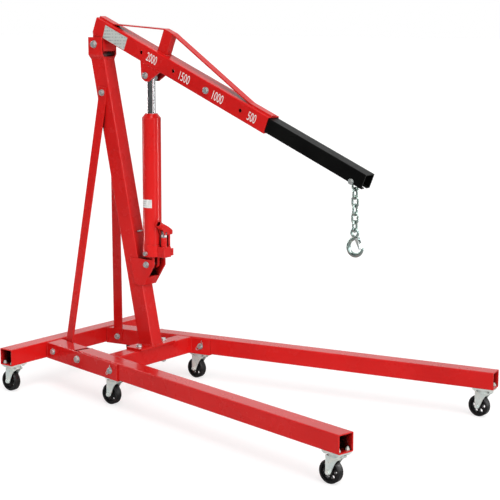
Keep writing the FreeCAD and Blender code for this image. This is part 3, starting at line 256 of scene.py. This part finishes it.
def printed(name, ink, worn, speck, rows=0.0):
    """Ink or vinyl on paint: slightly mottled, with pinholes, scuffs and rows of fine print."""
    s = Shader(name)
    base = s.mix(s.remap(s.noise(50.0, 5.0, 0.7), 0.35, 0.7), ink, worn)
    if rows:
        wave = s.add("ShaderNodeTexWave", wave_type="BANDS", bands_direction="Z")
        s.link(s.place, wave.inputs["Vector"])
        wave.inputs["Scale"].default_value = rows
        words = s.remap(s.noise(240.0, 1.0, 0.3, s.stretched((1.0, 1.0, 0.15))), 0.44, 0.50)
        print_mask = s.math("MULTIPLY", s.remap(wave.outputs["Fac"], 0.55, 0.70), words)
        base = s.mix(s.math("MULTIPLY", print_mask, 0.55), base, (0.16, 0.17, 0.17))
    holes = s.remap(s.noise(speck, 5.0, 0.75), 0.66, 0.72, 0.0, 0.5)
    base = s.mix(holes, base, tuple(value * 0.6 for value in worn))
    rough = s.remap(s.noise(120.0, 4.0), 0.3, 0.7, 0.32, 0.52)
    bumped = s.bump(s.noise(700.0, 3.0), 0.08, 0.0002)
    return s.finish(Base_Color=base, Roughness=rough, Normal=bumped)


RED = red_paint()
BLACK = black_paint()
ZINC = zinc("bright_zinc", (0.60, 0.62, 0.60), 0.20, 0.38, 900.0, 0.70)
CHAIN = zinc("chain_zinc", (0.50, 0.59, 0.54), 0.10, 0.24, 700.0, 0.95)
FORK = zinc("caster_zinc", (0.80, 0.83, 0.77), 0.24, 0.42, 1100.0, 0.35)
CHROME = chrome()
WHEEL = wheel_plastic()
INK = printed("white_ink", (0.80, 0.79, 0.77), (0.70, 0.66, 0.64), 240.0)
LABEL = printed("grey_vinyl", (0.52, 0.55, 0.52), (0.44, 0.47, 0.44), 400.0, 26.0)
STICKER = printed("white_vinyl", (0.78, 0.78, 0.76), (0.70, 0.69, 0.67), 400.0, 40.0)

FINISHES = {"red_paint": RED, "black_paint": BLACK, "zinc": ZINC, "chain_steel": CHAIN, "chrome": CHROME,
            "caster_zinc": FORK, "wheel_black": WHEEL}
for part in frame["record"]["subparts"]:
    mesh = nodes[part["node"]].data
    mesh.materials.clear()
    mesh.materials.append(FINISHES[part["material_slot"]])


# ---- the hoist's own frames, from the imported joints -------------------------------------
class Axes:
    """A place and three directions that ride with a CAD body."""

    def __init__(self, body, origin, along, up):
        self.body = body
        self.origin = Vector(origin)
        self.along = Vector(along).normalized()
        self.up = Vector(up).normalized()
        self.side = self.up.cross(self.along)

    def at(self, along=0.0, side=0.0, up=0.0):
        """A point, from millimetres along each direction."""
        return self.origin + (self.along * along + self.side * side + self.up * up) * MM


def axis_of(name):
    return Vector(joints[name]["axis"])


boom_run, ram_run = axis_of("extension_slide"), axis_of("rod_slide")
BOOM = Axes("boom", joints["boom_raise"]["pos_m"], boom_run, boom_run.cross(Y))
RAM = Axes("ram", joints["ram_tilt"]["pos_m"], Y.cross(ram_run), ram_run)
RAILS = {}
for hand in ("left", "right"):
    fold = f"leg_fold_{hand}"
    RAILS[hand] = Axes("base", joints[fold]["pos_m"], Z.cross(axis_of(fold)), Z)


# ---- mesh helpers -----------------------------------------------------------------------
def piece(name, form, body, material, smooth=True):
    """A finished mesh that rides on a CAD body."""
    mesh = bpy.data.meshes.new(name)
    bmesh.ops.recalc_face_normals(form, faces=form.faces)
    for face in form.faces:
        face.smooth = smooth
    form.to_mesh(mesh)
    form.free()
    mesh.materials.append(material)
    made = bpy.data.objects.new(name, mesh)
    scene.collection.objects.link(made)
    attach(made, body)
    return made


def resampled(points, step):
    """Points every step along a polyline, with the distance of each from its start."""
    stations, travelled = [], 0.0
    for start, end in zip(points, points[1:]):
        length = (end - start).length
        count = max(1, round(length / step))
        for k in range(count):
            stations.append((start.lerp(end, k / count), travelled + length * k / count))
        travelled += length
    stations.append((points[-1].copy(), travelled))
    return stations


def curved(points, count=8):
    """A Catmull-Rom curve through the points."""
    padded = [points[0] * 2 - points[1]] + list(points) + [points[-1] * 2 - points[-2]]
    smooth = []
    for a, b, c, d in zip(padded, padded[1:], padded[2:], padded[3:]):
        for k in range(count):
            t = k / count
            smooth.append((b * 2 + (c - a) * t + (a * 2 - b * 5 + c * 4 - d) * t * t
                           + (b * 3 - a - c * 3 + d) * t * t * t) * 0.5)
    smooth.append(points[-1].copy())
    return smooth


def sweep(form, stations, radius_at, sides=8):
    """A round tube through the stations, whose radius varies with the distance along it."""
    rings, guide = [], None
    for index, (point, travelled) in enumerate(stations):
        before = stations[max(index - 1, 0)][0]
        after = stations[min(index + 1, len(stations) - 1)][0]
        tangent = (after - before).normalized()
        if guide is None:
            guide = tangent.orthogonal().normalized()
        guide = (guide - tangent * guide.dot(tangent)).normalized()
        other = tangent.cross(guide)
        radius = radius_at(travelled)
        ring = [form.verts.new(point + (guide * math.cos(turn) + other * math.sin(turn)) * radius)
                for turn in (2 * math.pi * k / sides for k in range(sides))]
        if rings:
            last = rings[-1]
            for k in range(sides):
                form.faces.new((last[k], last[(k + 1) % sides], ring[(k + 1) % sides], ring[k]))
        rings.append(ring)
    form.faces.new(list(reversed(rings[0])))
    form.faces.new(rings[-1])


def weld(name, body, *runs, radius=2.3):
    """Weld beads with the ripple of stacked puddles, one along each run of points."""
    form = bmesh.new()
    for run in runs:
        phase = random.random()
        wobble = random.uniform(0.9, 1.1)

        def radius_at(travelled, phase=phase, wobble=wobble):
            ripple = abs(math.sin(math.pi * (travelled / (PUDDLE_PITCH * MM) + phase)))
            drift = math.sin(travelled * 410 + phase * 9)
            return radius * MM * wobble * (0.80 + 0.24 * ripple + 0.06 * drift)

        sweep(form, resampled(run, RING_STEP * MM), radius_at)
    return piece(name, form, body, RED)


def plate(name, axes, corners, side_offset, thickness, material, radius=2.0):
    """A thin printed or vinyl piece on a side wall, with rounded corners."""
    outline = []
    count = len(corners)
    for k in range(count):
        before, corner, after = (Vector(corners[(k + step) % count]) for step in (-1, 0, 1))
        for step in range(5):
            blend = step / 4
            start = corner + (before - corner).normalized() * radius
            end = corner + (after - corner).normalized() * radius
            outline.append(start.lerp(corner, blend).lerp(corner.lerp(end, blend), blend))
    form = bmesh.new()
    rings = []
    for offset in (side_offset, side_offset + math.copysign(thickness, side_offset)):
        rings.append([form.verts.new(axes.at(point.x, offset, point.y)) for point in outline])
        form.faces.new(rings[-1])
    near, far = rings
    for k in range(len(outline)):
        following = (k + 1) % len(outline)
        form.faces.new((near[k], near[following], far[following], far[k]))
    return piece(name, form, axes.body, material, smooth=False)


# ---- weld beads -------------------------------------------------------------------------
def base_welds():
    """The seams of the base: rails to crossbar, crossbeam to rails, mast to its plate."""
    crossbar_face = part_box("rear_crossbar")[1].x
    rail_low, rail_high = (corner.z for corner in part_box("rail_left"))
    beam_low, beam_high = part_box("front_crossbeam")
    for name, rail in RAILS.items():
        slope = rail.along.y / rail.along.x
        half = RAIL_HALF * MM / rail.along.x
        middle = rail.origin.y + (crossbar_face - rail.origin.x) * slope
        x = crossbar_face + 1.0 * MM
        start = rail_low + BEAD_START * MM
        seam = [Vector((x, middle - half, start)), Vector((x, middle - half, rail_high)),
                Vector((x, middle + half, rail_high)), Vector((x, middle + half, start))]
        weld(f"weld_rail_{name}", "base", seam, radius=2.6)
        beam = []
        for face, outward in ((beam_high.x, 1), (beam_low.x, -1)):
            inner = rail.origin.y + (face - rail.origin.x) * slope - HANDS[name] * half
            x = face + outward * 0.6 * MM
            beam.append([Vector((x, inner, beam_low.z + BEAD_START * MM)), Vector((x, inner, rail_high))])
        top = [run[1] for run in beam]
        weld(f"weld_crossbeam_{name}", "base", *beam, top, radius=2.6)
    plate_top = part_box("mast_foot_plate")[1].z + 0.6 * MM
    low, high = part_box("mast")
    back = high.x - MAST_DEPTH * MM
    foot = [Vector((high.x, low.y, plate_top)), Vector((high.x, high.y, plate_top)),
            Vector((back, high.y, plate_top)), Vector((back, low.y, plate_top))]
    weld("weld_mast_foot", "base", foot + foot[:1], radius=3.0)


def mast_welds():
    """The seams of the ram's bracket and of the head bracket on the mast."""
    low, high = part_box("mast")
    lean = (high.x - (low.x + MAST_DEPTH * MM)) / (high.z - low.z)

    def middle(height):
        """The mast's middle, which lies further back the higher it is."""
        return high.x - MAST_DEPTH / 2 * MM - (height - low.z) * lean

    bracket_low, bracket_high = (corner.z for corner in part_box("ram_base_bracket"))
    under = bracket_low - 0.5 * MM
    runs = []
    back, top = middle(bracket_low), middle(bracket_high)
    for sign in (1, -1):
        side = sign * (abs(low.y) + 1.2 * MM)
        runs.append([Vector((back, side, bracket_low)), Vector((top, side, bracket_high))])
        runs.append([Vector((back, side, under)), Vector((back + BRACKET_RUN * MM, side, under))])
    weld("weld_ram_bracket", "base", *runs, radius=2.4)
    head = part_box("mast_head_bracket")[0]
    back, front, seam_z = head.x + 3 * MM, low.x + 71 * MM, head.z - 0.2 * MM
    corners = [Vector((back, low.y, seam_z)), Vector((front, low.y, seam_z)),
               Vector((front, high.y, seam_z)), Vector((back, high.y, seam_z))]
    weld("weld_mast_head", "base", corners, radius=2.4)


def both_sides(ends, side, up):
    """Two straight runs along the boom, one on each side of its middle."""
    return [[BOOM.at(end, sign * side, up) for end in ends] for sign in (1, -1)]


def boom_welds():
    """The seams of the strap, post, ears and heel on the boom."""
    rear, front = STRAP_ENDS
    weld("weld_strap", "boom", *both_sides(rear, STRAP_HALF, BEAD_TOP),
         *both_sides(front, STRAP_HALF, BEAD_TOP), radius=2.0)
    rear, front = POST_RUN
    post = [BOOM.at(rear, -POST_HALF, BEAD_TOP), BOOM.at(front, -POST_HALF, BEAD_TOP),
            BOOM.at(front, POST_HALF, BEAD_TOP), BOOM.at(rear, POST_HALF, BEAD_TOP)]
    weld("weld_post_foot", "boom", post + post[:1], radius=2.3)
    weld("weld_ears", "boom", *both_sides(EARS_RUN, BEAD_SIDE, BEAD_UNDER), radius=2.0)
    weld("weld_heel", "boom", *both_sides(HEEL_RUN, BEAD_SIDE, BEAD_UNDER), radius=2.0)


base_welds()
mast_welds()
boom_welds()

# ---- labels and capacity numbers --------------------------------------------------------
for hand, sign in HANDS.items():
    plate(f"boom_label_{hand}", BOOM, LABEL_CORNERS, sign * BOOM_HALF, 0.25, LABEL, 2.5)


def wrapped_label(name, axes, radius, low, high, half_turn, material):
    """A thin label wrapped round a barrel, centred on the hoist's right side."""
    form = bmesh.new()
    shells, count = [], 24
    for depth in (-0.1, 0.22):
        columns = []
        for step in range(count + 1):
            turn = math.radians(half_turn) * (2 * step / count - 1)
            out, along = -(radius + depth) * math.cos(turn), (radius + depth) * math.sin(turn)
            columns.append([form.verts.new(axes.at(along, out, height)) for height in (low, high)])
        shells.append(columns)
    for columns in shells:
        for left, right in zip(columns, columns[1:]):
            form.faces.new((left[0], right[0], right[1], left[1]))
    inner, outer = shells
    for k in range(count):
        for edge in (0, 1):
            form.faces.new((inner[k][edge], inner[k + 1][edge], outer[k + 1][edge], outer[k][edge]))
    for k in (0, count):
        form.faces.new((inner[k][0], inner[k][1], outer[k][1], outer[k][0]))
    return piece(name, form, axes.body, material, smooth=False)


wrapped_label("ram_label", RAM, radius=36.0, low=222, high=254, half_turn=40, material=STICKER)


def capacity_number(text, along, hand):
    """A tall, narrow number painted on the boom's side."""
    sign = HANDS[hand]
    curve = bpy.data.curves.new(f"number_{text}", "FONT")
    curve.body = text
    curve.align_x = "CENTER"
    curve.align_y = "CENTER"
    curve.extrude = 0.0006
    curve.size = 1.0
    source = bpy.data.objects.new(f"number_source_{text}", curve)
    scene.collection.objects.link(source)
    mesh = bpy.data.meshes.new_from_object(source.evaluated_get(bpy.context.evaluated_depsgraph_get()))
    bpy.data.objects.remove(source)
    tall = max(vert.co.y for vert in mesh.vertices) - min(vert.co.y for vert in mesh.vertices)
    wide = max(vert.co.x for vert in mesh.vertices) - min(vert.co.x for vert in mesh.vertices)
    for vert in mesh.vertices:
        run = -sign * vert.co.x / wide * DIGIT_WIDTH * len(text)
        rise = vert.co.y / tall * DIGIT_HEIGHT
        out = sign * (BOOM_HALF + (0.2 if vert.co.z > 0 else -0.1))
        vert.co = BOOM.at(along + run, out, BOOM_MIDDLE + rise)
    form = bmesh.new()
    form.from_mesh(mesh)
    bpy.data.meshes.remove(mesh)
    piece(f"number_{text}_{hand}", form, "boom", INK, smooth=False)


for step, number in enumerate(("2000", "1500", "1000", "500")):
    for hand in HANDS:
        capacity_number(number, FIRST_HOLE + HOLE_PITCH * step + NUMBER_AFTER_HOLE, hand)


# ---- clips on the lock pins -------------------------------------------------------------
def spring_clip(name, axes, place, lean):
    """A bent wire R-clip over a lock pin's head, leaning forwards along the rail."""
    along, side, up = place
    shape = [(0, 20), (0, 14), (0, 4), (0, -8), (-1, -15), (-6, -19), (-11, -15), (-10, -9), (-5, -4),
             (-8, 2), (-6, 8), (-4.5, 14), (-6, 20), (-8, 24)]
    scale, sink, rise = 1.05, math.sin(lean), math.cos(lean)
    points = [axes.at(along + (x * rise + z * sink) * scale, side + 0.6 * math.sin(x),
                      up + (z * rise - x * sink) * scale) for x, z in shape]
    form = bmesh.new()
    sweep(form, [(point, 0.0) for point in curved(points, 6)], lambda travelled: 1.15 * MM)
    return piece(name, form, axes.body, ZINC)


for hand, rail in RAILS.items():
    spring_clip(f"lock_pin_clip_{hand}", rail, PIN_PLACE, math.radians(32))


# ---- camera, lights and floor -----------------------------------------------------------
def place_facing(data, place, towards):
    """A camera or light at a place, that looks or shines along a direction."""
    made = bpy.data.objects.new(data.name, data)
    scene.collection.objects.link(made)
    made.location = place
    made.rotation_mode = "QUATERNION"
    made.rotation_quaternion = Vector(towards).to_track_quat("-Z", "Y")
    return made


CAMERA_PLACE, CAMERA_TARGET = Vector((3.2109, -3.9422, 1.4714)), Vector((0.0926, 0.0017, 0.6083))
SENSOR, FOCAL_RATIO = 36.0, 2.7872    # the sensor's side, and the focal length over that side
lens = bpy.data.cameras.new("camera")
lens.sensor_width = SENSOR
lens.lens = FOCAL_RATIO * SENSOR
scene.camera = place_facing(lens, CAMERA_PLACE, CAMERA_TARGET - CAMERA_PLACE)


def sun(name, towards, strength, spread):
    """A soft, even light that shines along a direction."""
    data = bpy.data.lights.new(name, "SUN")
    data.energy = strength
    data.angle = math.radians(spread)
    place_facing(data, (0, 0, 0), towards)


sun("key", (-0.55, 0.30, -1.0), 2.0, 48)
sun("front_fill", (-1.0, 0.25, -0.35), 1.15, 40)
sun("side_fill", (-0.2, 1.0, -0.30), 0.72, 50)


def strip_light(name, place, height, brightness):
    """A narrow softbox, seen only as an upright highlight on glossy surfaces."""
    data = bpy.data.lights.new(name, "AREA")
    data.shape = "RECTANGLE"
    data.size, data.size_y = 0.22, height
    data.energy = brightness * height
    light = place_facing(data, place, (-place[0], -place[1], 0))
    light.visible_diffuse = False
    light.visible_camera = False


strip_light("strip_right", (1.9, 1.5, 1.2), 3.0, 11.3)
strip_light("strip_left", (-3.3, -0.45, 1.2), 3.0, 11.3)
strip_light("strip_front", (2.9, -0.6, 1.2), 3.0, 3.0)


def studio_world():
    """A white backdrop behind the hoist, and a dimmer room behind the camera."""
    world = bpy.data.worlds.new("studio")
    world.use_nodes = True
    nodes, links = world.node_tree.nodes, world.node_tree.links
    background = nodes["Background"]
    background.inputs["Color"].default_value = (1, 1, 1, 1)
    place = nodes.new("ShaderNodeTexCoord")
    facing = nodes.new("ShaderNodeVectorMath")
    facing.operation = "DOT_PRODUCT"
    facing.inputs[1].default_value = Vector((-0.62, 0.78, 0.10)).normalized()
    glow = nodes.new("ShaderNodeMapRange")
    glow.interpolation_type = "SMOOTHSTEP"
    for key, number in (("From Min", -0.1), ("From Max", 0.75), ("To Min", 0.10), ("To Max", 0.88)):
        glow.inputs[key].default_value = number
    ray = nodes.new("ShaderNodeLightPath")
    shown = nodes.new("ShaderNodeMix")
    shown.data_type = "FLOAT"
    shown.inputs["B"].default_value = 1.0
    links.new(place.outputs["Generated"], facing.inputs[0])
    links.new(facing.outputs["Value"], glow.inputs["Value"])
    links.new(ray.outputs["Is Camera Ray"], shown.inputs["Factor"])
    links.new(glow.outputs["Result"], shown.inputs["A"])
    links.new(shown.outputs["Result"], background.inputs["Strength"])
    return world


def studio_paper():
    """White paper, which shiny surfaces mirror as grey, and darker further away."""
    s = Shader("studio_paper")
    ray = s.add("ShaderNodeLightPath")
    spread = s.add("ShaderNodeVectorMath", operation="LENGTH")
    s.link(s.place, spread.inputs[0])
    far_off = s.remap(spread.outputs["Value"], 3.5, 8.0, 0.0, 1.0, True)
    mirrored = s.mix(far_off, (0.34, 0.34, 0.34), (0.06, 0.06, 0.06))
    tone = s.mix(s.noise(1.5, 3.0), (0.93, 0.93, 0.93), (0.96, 0.96, 0.96))
    tone = s.mix(ray.outputs["Is Glossy Ray"], tone, mirrored)
    tone = s.mix(ray.outputs["Is Camera Ray"], tone, (0.40, 0.40, 0.40))
    glow = s.math("MULTIPLY", ray.outputs["Is Camera Ray"], 0.66)
    return s.finish(Base_Color=tone, Roughness=0.85, Specular_IOR_Level=0.1,
                    Emission_Color=(1.0, 1.0, 1.0, 1.0), Emission_Strength=glow)


def studio_floor():
    """The floor, half a millimetre under the wheels."""
    mesh = bpy.data.meshes.new("floor")
    form = bmesh.new()
    bmesh.ops.create_grid(form, x_segments=4, y_segments=4, size=60.0)
    form.to_mesh(mesh)
    form.free()
    mesh.materials.append(studio_paper())
    floor = bpy.data.objects.new("floor", mesh)
    scene.collection.objects.link(floor)
    floor.location = (0, 0, -0.5 * MM)


scene.world = studio_world()
studio_floor()
scene.view_settings.view_transform = "Standard"
